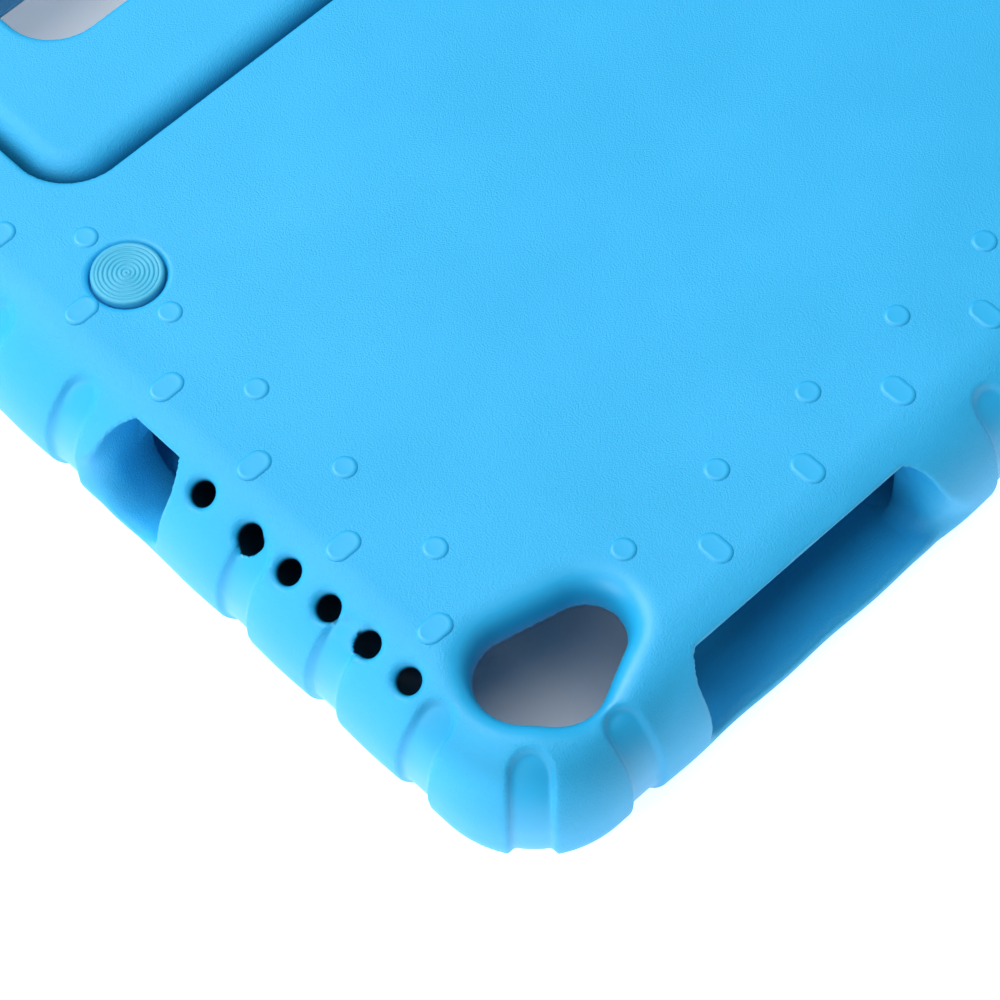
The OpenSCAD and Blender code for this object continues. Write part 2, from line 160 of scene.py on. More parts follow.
def smooth_step(low, high, v):
    """0 at low and before it, 1 at high and beyond it, smooth between."""
    t = np.clip((v - low) / (high - low), 0, 1)
    return t * t * (3 - 2 * t)


def tapered_capsule(x, y, a, ra, b, rb):
    """Distance to two discs and the tangent lines around them."""
    dx, dy = b[0] - a[0], b[1] - a[1]
    length = math.hypot(dx, dy)
    ux, uy = dx / length, dy / length
    along = (x - a[0]) * ux + (y - a[1]) * uy
    aside = np.abs((y - a[1]) * ux - (x - a[0]) * uy)
    sine = (ra - rb) / length
    cosine = math.sqrt(1 - sine * sine)
    t = (along * cosine - aside * sine) / (length * cosine)
    flank = aside * cosine + along * sine - ra
    disc_a = np.hypot(along, aside) - ra
    disc_b = np.hypot(along - length, aside) - rb
    return np.where(t < 0, disc_a, np.where(t > 1, disc_b, flank))


def grid_lines(*spans):
    """Grid lines over successive spans (start, end, step)."""
    parts = []
    for start, end, step in spans:
        count = max(1, round((end - start) / step))
        parts.append(np.linspace(start, end, count, endpoint=False))
    parts.append(np.array([spans[-1][1]]))
    return np.concatenate(parts).astype(np.float32)


def surface_net(field, xs, ys, zs):
    """Vertices and outward-facing quads of the zero surface of a sampled field."""
    shape = field.shape
    cells = tuple(n - 1 for n in shape)
    lines = (xs, ys, zs)
    ids, points, quads = [], [], []
    inside = field < 0
    for axis in range(3):
        low = [slice(None)] * 3
        high = [slice(None)] * 3
        low[axis] = slice(0, -1)
        high[axis] = slice(1, None)
        others = [a for a in range(3) if a != axis]
        for a in others:
            low[a] = slice(1, -1)
            high[a] = slice(1, -1)
        starts = inside[tuple(low)]
        index = np.argwhere(starts != inside[tuple(high)])
        for a in others:
            index[:, a] += 1
        i, j, k = index.T
        step = np.zeros(3, int)
        step[axis] = 1
        f0 = field[i, j, k]
        f1 = field[i + step[0], j + step[1], k + step[2]]
        t = f0 / (f0 - f1)
        point = np.stack([lines[a][index[:, a]] for a in range(3)], 1)
        span = lines[axis][index[:, axis] + 1] - lines[axis][index[:, axis]]
        point[:, axis] += t * span
        u, v = (axis + 1) % 3, (axis + 2) % 3
        corners = []
        for du, dv in ((0, 0), (1, 0), (1, 1), (0, 1)):
            cell = index.copy()
            cell[:, u] -= 1 - du
            cell[:, v] -= 1 - dv
            corners.append((cell[:, 0] * cells[1] + cell[:, 1]) * cells[2] + cell[:, 2])
            points.append(point)
        ids.extend(corners)
        quad = np.stack(corners, 1)
        leaving = f0 < 0
        quad[~leaving] = quad[~leaving][:, ::-1]
        quads.append(quad)
    ids = np.concatenate(ids)
    points = np.concatenate(points)
    unique, inverse = np.unique(ids, return_inverse=True)
    count = np.bincount(inverse)
    vertices = np.stack(
        [np.bincount(inverse, points[:, a]) / count for a in range(3)], 1)
    faces = np.searchsorted(unique, np.concatenate(quads))
    return vertices, faces


def mesh_object(name, vertices, faces):
    """A mesh object from vertices in millimetres and quads."""
    mesh = bpy.data.meshes.new(name)
    mesh.vertices.add(len(vertices))
    mesh.vertices.foreach_set("co", (vertices * MM).astype(np.float32).ravel())
    mesh.loops.add(faces.size)
    mesh.loops.foreach_set("vertex_index", faces.astype(np.int32).ravel())
    mesh.polygons.add(len(faces))
    mesh.polygons.foreach_set("loop_start", np.arange(0, faces.size, 4, dtype=np.int32))
    mesh.update(calc_edges=True)
    mesh.validate()
    obj = bpy.data.objects.new(name, mesh)
    bpy.context.scene.collection.objects.link(obj)
    return obj


def finish_mesh(obj, face_limit):
    """Thins a mesh of quads to at most face_limit triangles and shades it smooth."""
    triangles = len(obj.data.polygons) * 2
    if triangles > face_limit:
        thin = obj.modifiers.new("thin", "DECIMATE")
        thin.ratio = face_limit / triangles
        depsgraph = bpy.context.evaluated_depsgraph_get()
        mesh = bpy.data.meshes.new_from_object(obj.evaluated_get(depsgraph))
        obj.modifiers.clear()
        obj.data = mesh
    obj.data.shade_smooth()
    obj.data.set_sharp_from_angle(angle=math.radians(FOAM_SHARP_ANGLE))


def grid_coarsening():
    return 1.0


def add_mesh(obj, other):
    """Moves the other object's faces into obj."""
    other.data.shade_smooth()
    with bpy.context.temp_override(active_object=obj, selected_editable_objects=[obj, other]):
        bpy.ops.object.join()


def coordinates(obj):
    """Vertex coordinates in millimetres."""
    co = np.zeros(len(obj.data.vertices) * 3, np.float32)
    obj.data.vertices.foreach_get("co", co)
    return co.reshape(-1, 3) / MM


def point_attribute(obj, name, values):
    """Stores one number for each vertex, for a material to read."""
    attribute = obj.data.attributes.new(name, "FLOAT", "POINT")
    attribute.data.foreach_set("value", np.asarray(values, np.float32))


# ---------------------------------------------------------------- shell in plan
def nearest_line(v, pitch, count):
    """The nearest of count + 1 evenly spaced lines, centred on zero."""
    line = np.round(v / pitch + count / 2) - count / 2
    return np.clip(line, -count / 2, count / 2) * pitch


def band_profile(aside, inward, half, reach):
    """1 inside a band of the given half width that ends in an arch, 0 outside."""
    distance = np.hypot(aside, np.maximum(inward - (reach - half), 0)) - half
    return smooth_step(0.45, -0.45, distance)


def band_mask(x, y):
    """Where the straight bands and the corner bands are sunk."""
    inward_x = HALF_L - np.abs(x)
    inward_y = HALF_W - np.abs(y)
    line = nearest_line(x, PITCH_X, COUNT_X)
    at_slot = (y < 0) & (np.abs(line - SLOT.mid) < SLOT.half + BAND_W / 2)
    at_hinge = (y > 0) & (np.abs(np.abs(line) - HINGE_X) < ARM_W / 2 + HANDLE_GAP + 3)
    mask = band_profile(x - line, inward_y, BAND_W / 2, BAND_REACH)
    mask = np.where(at_slot | at_hinge, 0, mask)
    line = nearest_line(y, PITCH_Y, COUNT_Y)
    at_port = (x < 0) & (np.abs(line - PORT.mid) < PORT.half + BAND_W / 2)
    side = band_profile(y - line, inward_x, BAND_W / 2, BAND_REACH)
    mask = np.maximum(mask, np.where(at_port, 0, side))
    across = (np.abs(x) - (HALF_L - CORNER_R), np.abs(y) - (HALF_W - CORNER_R))
    along = (across[0] + across[1]) * math.sqrt(0.5)
    aside = (across[0] - across[1]) * math.sqrt(0.5)
    ends = band_profile(aside, CORNER_R - along, CORNER_BAND_W / 2, CORNER_BAND_REACH)
    return np.maximum(mask, ends)


def pillow(x, y):
    """Bulge of the pads between the bands, near the outer walls."""
    wave_x = 0.5 - 0.5 * np.cos(2 * math.pi * (x - ROW_X) / PITCH_X)
    wave_y = 0.5 - 0.5 * np.cos(2 * math.pi * (y - ROW_Y) / PITCH_Y)
    near_x = smooth_step(BAND_REACH + 4, 2, HALF_L - np.abs(x)) * (np.abs(y) < ROW_Y)
    near_y = smooth_step(BAND_REACH + 4, 2, HALF_W - np.abs(y)) * (np.abs(x) < ROW_X)
    return np.maximum(wave_x * near_y, wave_y * near_x)


def dot_places():
    """(x, y, reach along X, reach along Y) of every dot on the back."""
    xs = [(k - COUNT_X / 2) * PITCH_X for k in range(COUNT_X + 1)]
    ys = [(k - COUNT_Y / 2) * PITCH_Y for k in range(COUNT_Y + 1)]
    places = []
    for x in xs:
        for y in (-ROW_Y, ROW_Y):
            at_camera = x < 1 - ROW_X and y < 0
            at_hinge = y > 0 and abs(abs(x) - HINGE_X) < HINGE_CLEAR
            if not at_camera and not at_hinge:
                places.append((x, y, 0, 0))
    for y in ys[1:-1]:
        if y < HANDLE_NEAR - 2 * DOT_R:
            places.extend((side * ROW_X, y, 0, 0) for side in (-1, 1))
    for x in xs[1:-2]:
        middle = x + PITCH_X / 2
        places.append((middle, -ROW_Y - OVAL_SHIFT, 0, OVAL_REACH))
        if abs(abs(middle) - HINGE_X) > HINGE_CLEAR_OVAL:
            places.append((middle, ROW_Y + OVAL_SHIFT, 0, OVAL_REACH))
    for y in ys[:-1]:
        for side in (-1, 1):
            places.append((side * (ROW_X + OVAL_SHIFT), y + PITCH_Y / 2, OVAL_REACH, 0))
    return places


def dots_mesh():
    """Vertices and quads of all dots: flat discs with a low rounded rim."""
    vertices, faces = [], []
    for px, py, reach_x, reach_y in dot_places():
        start = len(vertices)
        for offset, height in DOT_PROFILE:
            for k in range(DOT_SEGMENTS):
                angle = 2 * math.pi * (k + 0.5) / DOT_SEGMENTS
                ux, uy = math.cos(angle), math.sin(angle)
                vertices.append((
                    px + math.copysign(reach_x, ux) + (DOT_R + offset) * ux,
                    py + math.copysign(reach_y, uy) + (DOT_R + offset) * uy,
                    HEIGHT + height))
        rings = len(DOT_PROFILE) - 1
        for ring in range(rings):
            low = start + ring * DOT_SEGMENTS
            for k in range(DOT_SEGMENTS):
                after = (k + 1) % DOT_SEGMENTS
                faces.append((low + k, low + after,
                              low + DOT_SEGMENTS + after, low + DOT_SEGMENTS + k))
        for low, turned in ((start, True), (start + rings * DOT_SEGMENTS, False)):
            last = low + DOT_SEGMENTS - 1
            for k in range(DOT_SEGMENTS // 2 - 1):
                cap = (low + k, low + k + 1, last - 1 - k, last - k)
                faces.append(cap[::-1] if turned else cap)
    return np.array(vertices), np.array(faces)


def camera_plan(x, y):
    """Distance to the outline drawn tightly around the three lobes."""
    x, y = x + ROW_X, y + ROW_Y
    nearest = np.full(np.broadcast(x, y).shape, 99, np.float32)
    inside = np.full(nearest.shape, -99, np.float32)
    for k, (px, py, pr) in enumerate(LOBES):
        qx, qy, qr = LOBES[(k + 1) % len(LOBES)]
        nearest = np.minimum(nearest, tapered_capsule(x, y, (px, py), pr, (qx, qy), qr))
        length = math.hypot(qx - px, qy - py)
        outward = ((y - py) * (px - qx) - (x - px) * (py - qy)) / length
        inside = np.maximum(inside, outward)
    return np.where(inside < 0, np.minimum(nearest, inside - 4), nearest)


def window_plan(x, y):
    """The handle's window in the back wall: a U that is open to the +Y edge."""
    outline = rounded_rect(
        x, y - (HANDLE_NEAR - HANDLE_GAP + 100), HANDLE_HALF + HANDLE_GAP, 100,
        HANDLE_R + HANDLE_GAP)
    island = rounded_rect(x, y - (ISLAND_NEAR + 100), ISLAND_HALF, 100, 1.5)
    return np.maximum(outline, -island)


# ---------------------------------------------------------------- shell in space
def outer_body(x, y, z):
    """Block with rounded corners, the shoulder and the front rim's round."""
    plan = rounded_rect(x, y, HALF_L, HALF_W, CORNER_R)
    top = corner(plan + SHOULDER_R, z - (HEIGHT - SHOULDER_R)) - SHOULDER_R
    bottom = corner(plan + FOOT_R, FOOT_R - z) - FOOT_R
    return np.maximum(top, bottom)


def side_slot(field, opening, along, inward, z, wall):
    """Cuts an opening through a wall, over the front lip. Its end at positive along is
    flared and soft near the outside; the rest is crisp above and rounded at the lip."""
    half, top, foot_r = opening.half, opening.top, opening.foot_r
    centre = HEIGHT - SHOULDER_R
    shoulder = SHOULDER_R - math.sqrt(SHOULDER_R ** 2 - (top - centre) ** 2)
    outside = corner(SHOULDER_R - inward, z - centre) - SHOULDER_R
    flared = opening.flare * np.clip(1 + outside / 5.0, 0, 1.2) ** 2 * smooth_step(19, 9, z)
    beyond = np.abs(along - flared / 2) - (half + flared / 2)
    floor = POCKET_Z[0] + SLOT_RISE * np.clip(1 - inward / wall, 0, 1)
    upper = corner(beyond + SLOT_END_R, z - (top - SLOT_END_R)) - SLOT_END_R
    lower = corner(beyond + foot_r, floor + foot_r - z) - foot_r
    slope = (HEIGHT - 13) / (wall + 2 - shoulder)
    ceiling = ((z - HEIGHT) + (inward - shoulder + 1) * slope) / math.hypot(1, slope)
    hole = np.maximum(np.maximum(upper, lower), np.maximum(ceiling, inward - (wall + 1)))
    at_flare = smooth_step(half - 3, half + 1, along) * smooth_step(18, 10, z)
    soft = 0.4 + 1.6 * smooth_step(12, 8, z) + 1.4 * at_flare
    return smooth_max(field, -hole, soft)


def slot_depth(x, y):
    """How far in from the outside a point of the button slot or the port lies."""
    slot = np.where(np.abs(x - SLOT.mid) < SLOT.half, y + HALF_W, 0) * (y < 0)
    port = np.where(np.abs(y - PORT.mid) < PORT.half, x + HALF_L, 0) * (x < 0)
    return np.maximum(slot * (slot < 11), port * (port < 12))


def speaker_places():
    """Y of each speaker hole. The last one stands a little apart."""
    places = [SPEAKER_FIRST + k * SPEAKER_STEP - ROW_Y for k in range(SPEAKER_COUNT)]
    places[-1] += SPEAKER_LAST_GAP - SPEAKER_STEP
    return places


def speaker_axes(x, z):
    """Depth along the slanting axes of the speaker holes, and distance across them."""
    dx = x - (SPEAKER_INSET - HALF_L)
    dz = z - (HEIGHT - SPEAKER_DROP)
    depth = dx * math.sin(SPEAKER_TILT) - dz * math.cos(SPEAKER_TILT)
    return depth, dx * math.cos(SPEAKER_TILT) + dz * math.sin(SPEAKER_TILT)


def speaker_hole(x, y, z, mid):
    """Hole slanting in from the shoulder, wider behind its mouth."""
    depth, across = speaker_axes(x, z)
    off = np.hypot(across, y - mid)
    radius = SPEAKER_R + SPEAKER_WIDENING * smooth_step(1.1, 2.2, depth)
    return np.maximum(off - radius, depth - SPEAKER_DEPTH)


def patch(lines, low, high):
    """Index range of the grid lines from low to high."""
    return slice(int(np.searchsorted(lines, low)), int(np.searchsorted(lines, high)))


def box_field(x, y, z, low, high):
    """Rectangular block, as the largest of its six face distances."""
    return np.maximum(
        np.maximum(np.maximum(low[0] - x, x - high[0]), np.maximum(low[1] - y, y - high[1])),
        np.maximum(low[2] - z, z - high[2]))


def cut(field, cutter, k=0.0):
    """Takes cutter away from field, with an edge rounded over k."""
    return smooth_max(field, -cutter, k) if k else np.maximum(field, -cutter)


def hinge_rooms():
    """Boxes cut from the foam for one hinge, from its middle along X."""
    rooms = [BASE_ROOM, PLATE_ROOM]
    for (inner, outer), along_y, along_z in (
            (EAR_X, EAR_Y, EAR_Z), (PIN_END_X, PIN_END_Y, PIN_END_Z)):
        for low_x, high_x in ((-outer, -inner), (inner, outer)):
            rooms.append(((low_x, along_y[0], along_z[0]), (high_x, along_y[1], along_z[1])))
    return rooms


def shell_field(xs, ys, zs):
    """The foam shell's field: the body with its bands, less every opening and seat."""
    x = xs[:, None, None]
    y = ys[None, :, None]
    z = zs[None, None, :]
    x2, y2 = xs[:, None], ys[None, :]
    relief = BAND_DEPTH * band_mask(x2, y2) - PILLOW * pillow(x2, y2)
    field = outer_body(x, y, z) + relief[:, :, None].astype(np.float32)

    # camera hole with its funnel, and the thinned wall behind it
    at = (patch(xs, -145, -96), patch(ys, -97, -58), slice(None))
    plan = camera_plan(x2[at[0]], y2[:, at[1]])[:, :, None]
    field[at] = cut(field[at], np.maximum(plan, POCKET_Z[1] - 1 - z), FUNNEL_SOFT)
    thin = rounded_rect(
        x2[at[0]] + ROW_X - RELIEF_MID[0], y2[:, at[1]] + ROW_Y - RELIEF_MID[1],
        *RELIEF_HALF, RELIEF_R)[:, :, None]
    field[at] = cut(field[at], np.maximum(thin, z - RELIEF_Z))

    # speaker holes
    for mid in speaker_places():
        at = (patch(xs, -140, -115), patch(ys, mid - 4, mid + 4), slice(None))
        hole = speaker_hole(x[at[0]], y[:, at[1]], z, mid)
        field[at] = cut(field[at], hole, 1.5)

    # button slot and port
    at = (patch(xs, SLOT.mid - 30, SLOT.mid + 30), patch(ys, -97, -80), slice(None))
    field[at] = side_slot(
        field[at], SLOT, x[at[0]] - SLOT.mid, y[:, at[1]] + HALF_W, z,
        HALF_W - POCKET_HALF[1])
    at = (patch(xs, -143, -125), patch(ys, PORT.mid - 15, PORT.mid + 15), slice(None))
    field[at] = side_slot(
        field[at], PORT, y[:, at[1]] - PORT.mid, x[at[0]] + HALF_L, z,
        HALF_L - POCKET_HALF[0])

    # tablet pocket and the opening over the screen
    pocket = rounded_rect(x2, y2, *POCKET_HALF, POCKET_R)[:, :, None]
    pocket = np.maximum(pocket, np.abs(z - sum(POCKET_Z) / 2) - (POCKET_Z[1] - POCKET_Z[0]) / 2)
    field = np.maximum(field, -pocket)
    screen = rounded_rect(
        x2, y2, POCKET_HALF[0] - LIP, POCKET_HALF[1] - LIP, POCKET_R)[:, :, None]
    low = slice(0, int(np.searchsorted(zs, POCKET_Z[0] + 2)))
    field[:, :, low] = cut(field[:, :, low], np.maximum(screen, z[:, :, low] - SCREEN_TOP), 1.6)

    # window for the handle
    high = slice(int(np.searchsorted(zs, NOTCH_FLOOR - 1)), None)
    window = window_plan(x2, y2)[:, :, None]
    window = np.maximum(window, NOTCH_FLOOR - z[:, :, high])
    field[:, :, high] = cut(field[:, :, high], window.astype(np.float32), 0.8)

    for side in (-1, 1):
        # seat of the ringed plug, its stem and its retainer
        at = (patch(xs, side * ROW_X - 8, side * ROW_X + 8), patch(ys, -8, 8), slice(None))
        off = np.hypot(x[at[0]] - side * ROW_X, y[:, at[1]])
        field[at] = cut(field[at], np.maximum(off - PLUG_SEAT_R, PLUG_SEAT_Z - z), 0.7)
        field[at] = cut(field[at], off - STEM_HOLE_R)
        field[at] = cut(field[at], np.maximum(off - RETAINER_ROOM_R, z - RETAINER_ROOM_TOP))
        # room for the hinge bracket's ears and base, the anchor plate and the pin's ends
        hinge = side * HINGE_X
        at = (patch(xs, hinge - 18, hinge + 18), patch(ys, 72, 92), slice(None))
        px, py = x[at[0]], y[:, at[1]]
        for low_corner, high_corner in hinge_rooms():
            room = box_field(px - hinge, py, z, low_corner, high_corner)
            field[at] = cut(field[at], room)
    return field


def grain_mask(x, y, z):
    """1 where the foam has its leather grain, 0 on bands, dots and the holes' mouths."""
    rough = 1 - smooth_step(0.35, 0.75, band_mask(x, y))
    rough = rough * (z < HEIGHT + 0.02)
    rough = rough * smooth_step(2.2, 3.6, camera_plan(x, y))
    for mid in speaker_places():
        near = np.abs(speaker_hole(x, y, z, mid))
        rough = rough * smooth_step(0.2, 1.0, near)
    plug = np.hypot(np.abs(x) - ROW_X, y)
    return rough * smooth_step(5.2, 5.9, plug)


def painted_crevice_shade(x, y, z):
    """Painted shade: how much the foam's colour is darkened where shade falls in the slot, the
    port, the funnel and the speaker holes.
    """
    inward = np.minimum(HALF_L - np.abs(x), HALF_W - np.abs(y))
    below = z < HEIGHT - 0.6 - np.maximum(SHOULDER_R - inward, 0) ** 2 / (2 * SHOULDER_R)
    painted_shade = 0.3 * smooth_step(6, 10, slot_depth(x, y)) * below
    funnel = smooth_step(9, 6, camera_plan(x, y)) * smooth_step(0.3, 3, HEIGHT - z)
    painted_shade = np.maximum(painted_shade, 0.17 * funnel)
    depth = speaker_axes(x, z)[0]
    for mid in speaker_places():
        near = speaker_hole(x, y, z, mid)
        painted_shade = np.maximum(painted_shade, 0.9 * smooth_step(0.4, 1.1, depth) * (near < 0.5))
    return painted_shade


def build_shell():
    coarse = grid_coarsening()
    fine, plain = 0.36 * coarse, 0.6 * coarse
    xs = grid_lines((-141, -20, fine), (-20, 94, plain), (94, 141, 0.42 * coarse))
    ys = grid_lines((-95, 40, fine), (40, 72, plain), (72, 95, 0.42 * coarse))
    zs = grid_lines((-1, 18, 0.5), (18, 24.2, 0.31))
    vertices, faces = surface_net(shell_field(xs, ys, zs), xs, ys, zs)
    obj = mesh_object("foam_shell", vertices, faces)
    finish_mesh(obj, SHELL_TRIANGLES)
    add_mesh(obj, mesh_object("dots", *dots_mesh()))
    x, y, z = coordinates(obj).T
    point_attribute(obj, "grain", grain_mask(x, y, z))
    # painted shade in the slot, the port, the camera hole's funnel and the speaker holes, read
    # by the foam material
    point_attribute(obj, "painted_shade", painted_crevice_shade(x, y, z))
    return obj


# ---------------------------------------------------------------- handle foam
def handle_plan(x, y, half, side_w, near, bar, r):
    """Outline of a U with its bar at -Y, and the hole between its arms."""
    outline = rounded_rect(x, y - (near + 100), half, 100, r)
    hole = rounded_rect(x, y - (near + bar + 100), half - side_w, 100, r)
    return np.maximum(outline, y - ARM_END), hole


def handle_field(xs, ys, zs):
    """The handle's foam: rounded over the top, with a hollow where its core lies."""
    x = xs[:, None, None]
    y = ys[None, :, None]
    z = zs[None, None, :]
    outline, hole = handle_plan(x, y, HANDLE_HALF, ARM_W, HANDLE_NEAR, BAR_W, HANDLE_R)
    top = corner(outline + HANDLE_ROUND, z - (HEIGHT - HANDLE_ROUND)) - HANDLE_ROUND
    bottom = corner(outline + HANDLE_FOOT_R, (HANDLE_Z + HANDLE_FOOT_R) - z) - HANDLE_FOOT_R
    field = np.maximum(top, bottom)
    inner = corner(-hole + GRIP_HOLE_R, z - (HEIGHT - GRIP_HOLE_R)) - GRIP_HOLE_R
    under = corner(-hole + GRIP_HOLE_R, (HANDLE_Z + GRIP_HOLE_R) - z) - GRIP_HOLE_R
    field = np.maximum(field, np.maximum(inner, under))
    core, core_hole = handle_plan(
        x, y, HANDLE_HALF - (ARM_W - CORE_W) / 2, CORE_W,
        HANDLE_NEAR + (BAR_W - CORE_BAR_W) / 2, CORE_BAR_W, HANDLE_R - 3)
    core = np.maximum(np.maximum(core, -core_hole), np.abs(z - CORE_Z) - CORE_H / 2)
    return np.maximum(field, 0.1 - core)


def build_handle():
    coarse = grid_coarsening()
    xs = grid_lines((-118, -60, 0.4 * coarse), (-60, 60, 0.8 * coarse), (60, 118, 0.4 * coarse))
    ys = grid_lines((13.5, 42, 0.4 * coarse), (42, 76, 0.6 * coarse))
    zs = grid_lines((13.6, 24.0, 0.35))
    vertices, faces = surface_net(handle_field(xs, ys, zs), xs, ys, zs)
    obj = mesh_object("handle_grip", vertices, faces)
    finish_mesh(obj, HANDLE_TRIANGLES)
    z = coordinates(obj)[:, 2]
    point_attribute(obj, "grain", np.ones(len(z)))
    # painted shade: the handle's foam is darkened below its rounded top and above its underside,
    # on the sides beside the gap
    depth = smooth_step(0.2, 2.6, HEIGHT - z) * smooth_step(0.2, 1.8, z - HANDLE_Z)
    point_attribute(obj, "painted_shade", 0.65 * depth)
    return obj


# ---------------------------------------------------------------- small parts
def lathe(name, profile, segments=96):
    """A closed solid of revolution about Z from (radius, height) points, top to bottom."""
    vertices, faces = [], []
    for r, h in profile[1:-1]:
        for s in range(segments):
            a = 2 * math.pi * s / segments
            vertices.append((r * math.cos(a) * MM, r * math.sin(a) * MM, h * MM))
    rings = len(profile) - 2
    for k in range(rings - 1):
        for s in range(segments):
            n = (s + 1) % segments
            faces.append((k * segments + s, (k + 1) * segments + s,
                          (k + 1) * segments + n, k * segments + n))
    for end, ring in ((0, 0), (-1, rings - 1)):
        vertices.append((0, 0, profile[end][1] * MM))
        middle = len(vertices) - 1
        for s in range(segments):
            n = (s + 1) % segments
            pair = (ring * segments + s, ring * segments + n)
            faces.append((middle, *(pair if end == 0 else pair[::-1])))
    mesh = bpy.data.meshes.new(name)
    mesh.from_pydata(vertices, [], faces)
    mesh.update()
    obj = bpy.data.objects.new(name, mesh)
    bpy.context.scene.collection.objects.link(obj)
    mesh.shade_smooth()
    mesh.set_sharp_from_angle(angle=math.radians(55))
    return obj


def build_plug(side):
    """Ringed plug: a low disc with concentric grooves, on a stem."""
    top = HEIGHT + PLUG_TOP
    step = PLUG_R / RING_COUNT
    profile = [(0, top)]
    for k in range(60):
        r = 0.05 + k * (PLUG_R - 0.65) / 60
        groove = RING_DEPTH * (0.5 + 0.5 * math.cos(2 * math.pi * r / step)) ** 2
        profile.append((r, top - groove))
    profile += [(PLUG_R - 0.45, top), (PLUG_R - 0.2, top - 0.06), (PLUG_R - 0.05, top - 0.2),
                (PLUG_R, top - 0.42), (PLUG_R, top - PLUG_HEAD_H), (STEM_R, top - PLUG_HEAD_H),
                (STEM_R, STEM_FOOT), (0, STEM_FOOT)]
    name = "ringed_plug_left" if side < 0 else "ringed_plug_right"
    obj = lathe(name, profile)
    obj.location = (side * ROW_X * MM, 0, 0)
    return obj


def build_covers(side):
    """Two small caps over the ends of one hinge pin."""
    bm = bmesh.new()
    inner, outer = COVER_X
    for low_x, high_x in ((-outer, -inner), (inner, outer)):
        size = Vector((high_x - low_x, COVER_W, COVER_H))
        mid = Vector((side * HINGE_X + (low_x + high_x) / 2, HINGE_Y, COVER_Z))
        matrix = Matrix.Translation(mid * MM) @ Matrix.Diagonal((*(size * MM), 1))
        bmesh.ops.create_cube(bm, size=1, matrix=matrix)
    bmesh.ops.bevel(
        bm, geom=bm.edges[:], offset=0.3 * MM, segments=3, affect="EDGES", profile=0.5)
    name = "hinge_caps_left" if side < 0 else "hinge_caps_right"
    mesh = bpy.data.meshes.new(name)
    bm.to_mesh(mesh)
    bm.free()
    obj = bpy.data.objects.new(name, mesh)
    bpy.context.scene.collection.objects.link(obj)
    mesh.shade_smooth()
    mesh.set_sharp_from_angle(angle=math.radians(50))
    return obj


# ---------------------------------------------------------------- materials
def new_material(name):
    """A node material, with its tree, its shader and the object coordinates."""
    material = bpy.data.materials.new(name)
    material.use_nodes = True
    tree = material.node_tree
    shader = tree.nodes["Principled BSDF"]
    place = tree.nodes.new("ShaderNodeTexCoord")
    return material, tree, shader, place.outputs["Object"]


def noise(tree, place, scale, detail=2.0, roughness=0.5):
    """Noise between 0 and 1."""
    node = tree.nodes.new("ShaderNodeTexNoise")
    node.inputs["Scale"].default_value = scale
    node.inputs["Detail"].default_value = detail
    node.inputs["Roughness"].default_value = roughness
    tree.links.new(place, node.inputs["Vector"])
    return node.outputs["Fac"]


def ramp(tree, value, low, high, colours):
    """Blends two colours as value goes from low to high."""
    node = tree.nodes.new("ShaderNodeValToRGB")
    node.color_ramp.elements[0].position = low
    node.color_ramp.elements[1].position = high
    node.color_ramp.elements[0].color = (*colours[0], 1)
    node.color_ramp.elements[1].color = (*colours[1], 1)
    tree.links.new(value, node.inputs["Fac"])
    return node.outputs["Color"]


def scaled(tree, value, low, high):
    """Maps 0..1 to low..high."""
    node = tree.nodes.new("ShaderNodeMapRange")
    node.inputs["To Min"].default_value = low
    node.inputs["To Max"].default_value = high
    tree.links.new(value, node.inputs["Value"])
    return node.outputs["Result"]


def times(tree, a, b):
    """Product of two values."""
    node = tree.nodes.new("ShaderNodeMath")
    node.operation = "MULTIPLY"
    tree.links.new(a, node.inputs[0])
    tree.links.new(b, node.inputs[1])
    return node.outputs["Value"]


def foam_material(name, dark, light):
    """Moulded EVA foam: a fine leather grain that is absent where it was polished."""
    material, tree, shader, place = new_material(name)
    grain = tree.nodes.new("ShaderNodeAttribute")
    grain.attribute_name = "grain"
    fine = noise(tree, place, 4400, 2.0, 0.55)
    patchy = noise(tree, place, 60, 3.0)
    # painted shade: a per-vertex attribute darkens the base colour and takes away the gloss in
    # crevices
    painted_shade = tree.nodes.new("ShaderNodeAttribute")
    painted_shade.attribute_name = "painted_shade"
    painted_shade_colour = tree.nodes.new("ShaderNodeVectorMath")
    painted_shade_colour.operation = "SCALE"
    tree.links.new(ramp(tree, patchy, 0.3, 0.7, (dark, light)), painted_shade_colour.inputs[0])
    tree.links.new(scaled(tree, painted_shade.outputs["Fac"], 1, 0), painted_shade_colour.inputs["Scale"])
    tree.links.new(painted_shade_colour.outputs["Vector"], shader.inputs["Base Color"])
    height = times(tree, fine, grain.outputs["Fac"])
    bump = tree.nodes.new("ShaderNodeBump")
    bump.inputs["Strength"].default_value = 0.8
    bump.inputs["Distance"].default_value = 0.00012
    tree.links.new(height, bump.inputs["Height"])
    tree.links.new(bump.outputs["Normal"], shader.inputs["Normal"])
    tree.links.new(scaled(tree, grain.outputs["Fac"], 0.42, 0.55), shader.inputs["Roughness"])
    gloss = scaled(tree, painted_shade.outputs["Fac"], 0.55, 0.0)
    tree.links.new(gloss, shader.inputs["Specular IOR Level"])
    return material


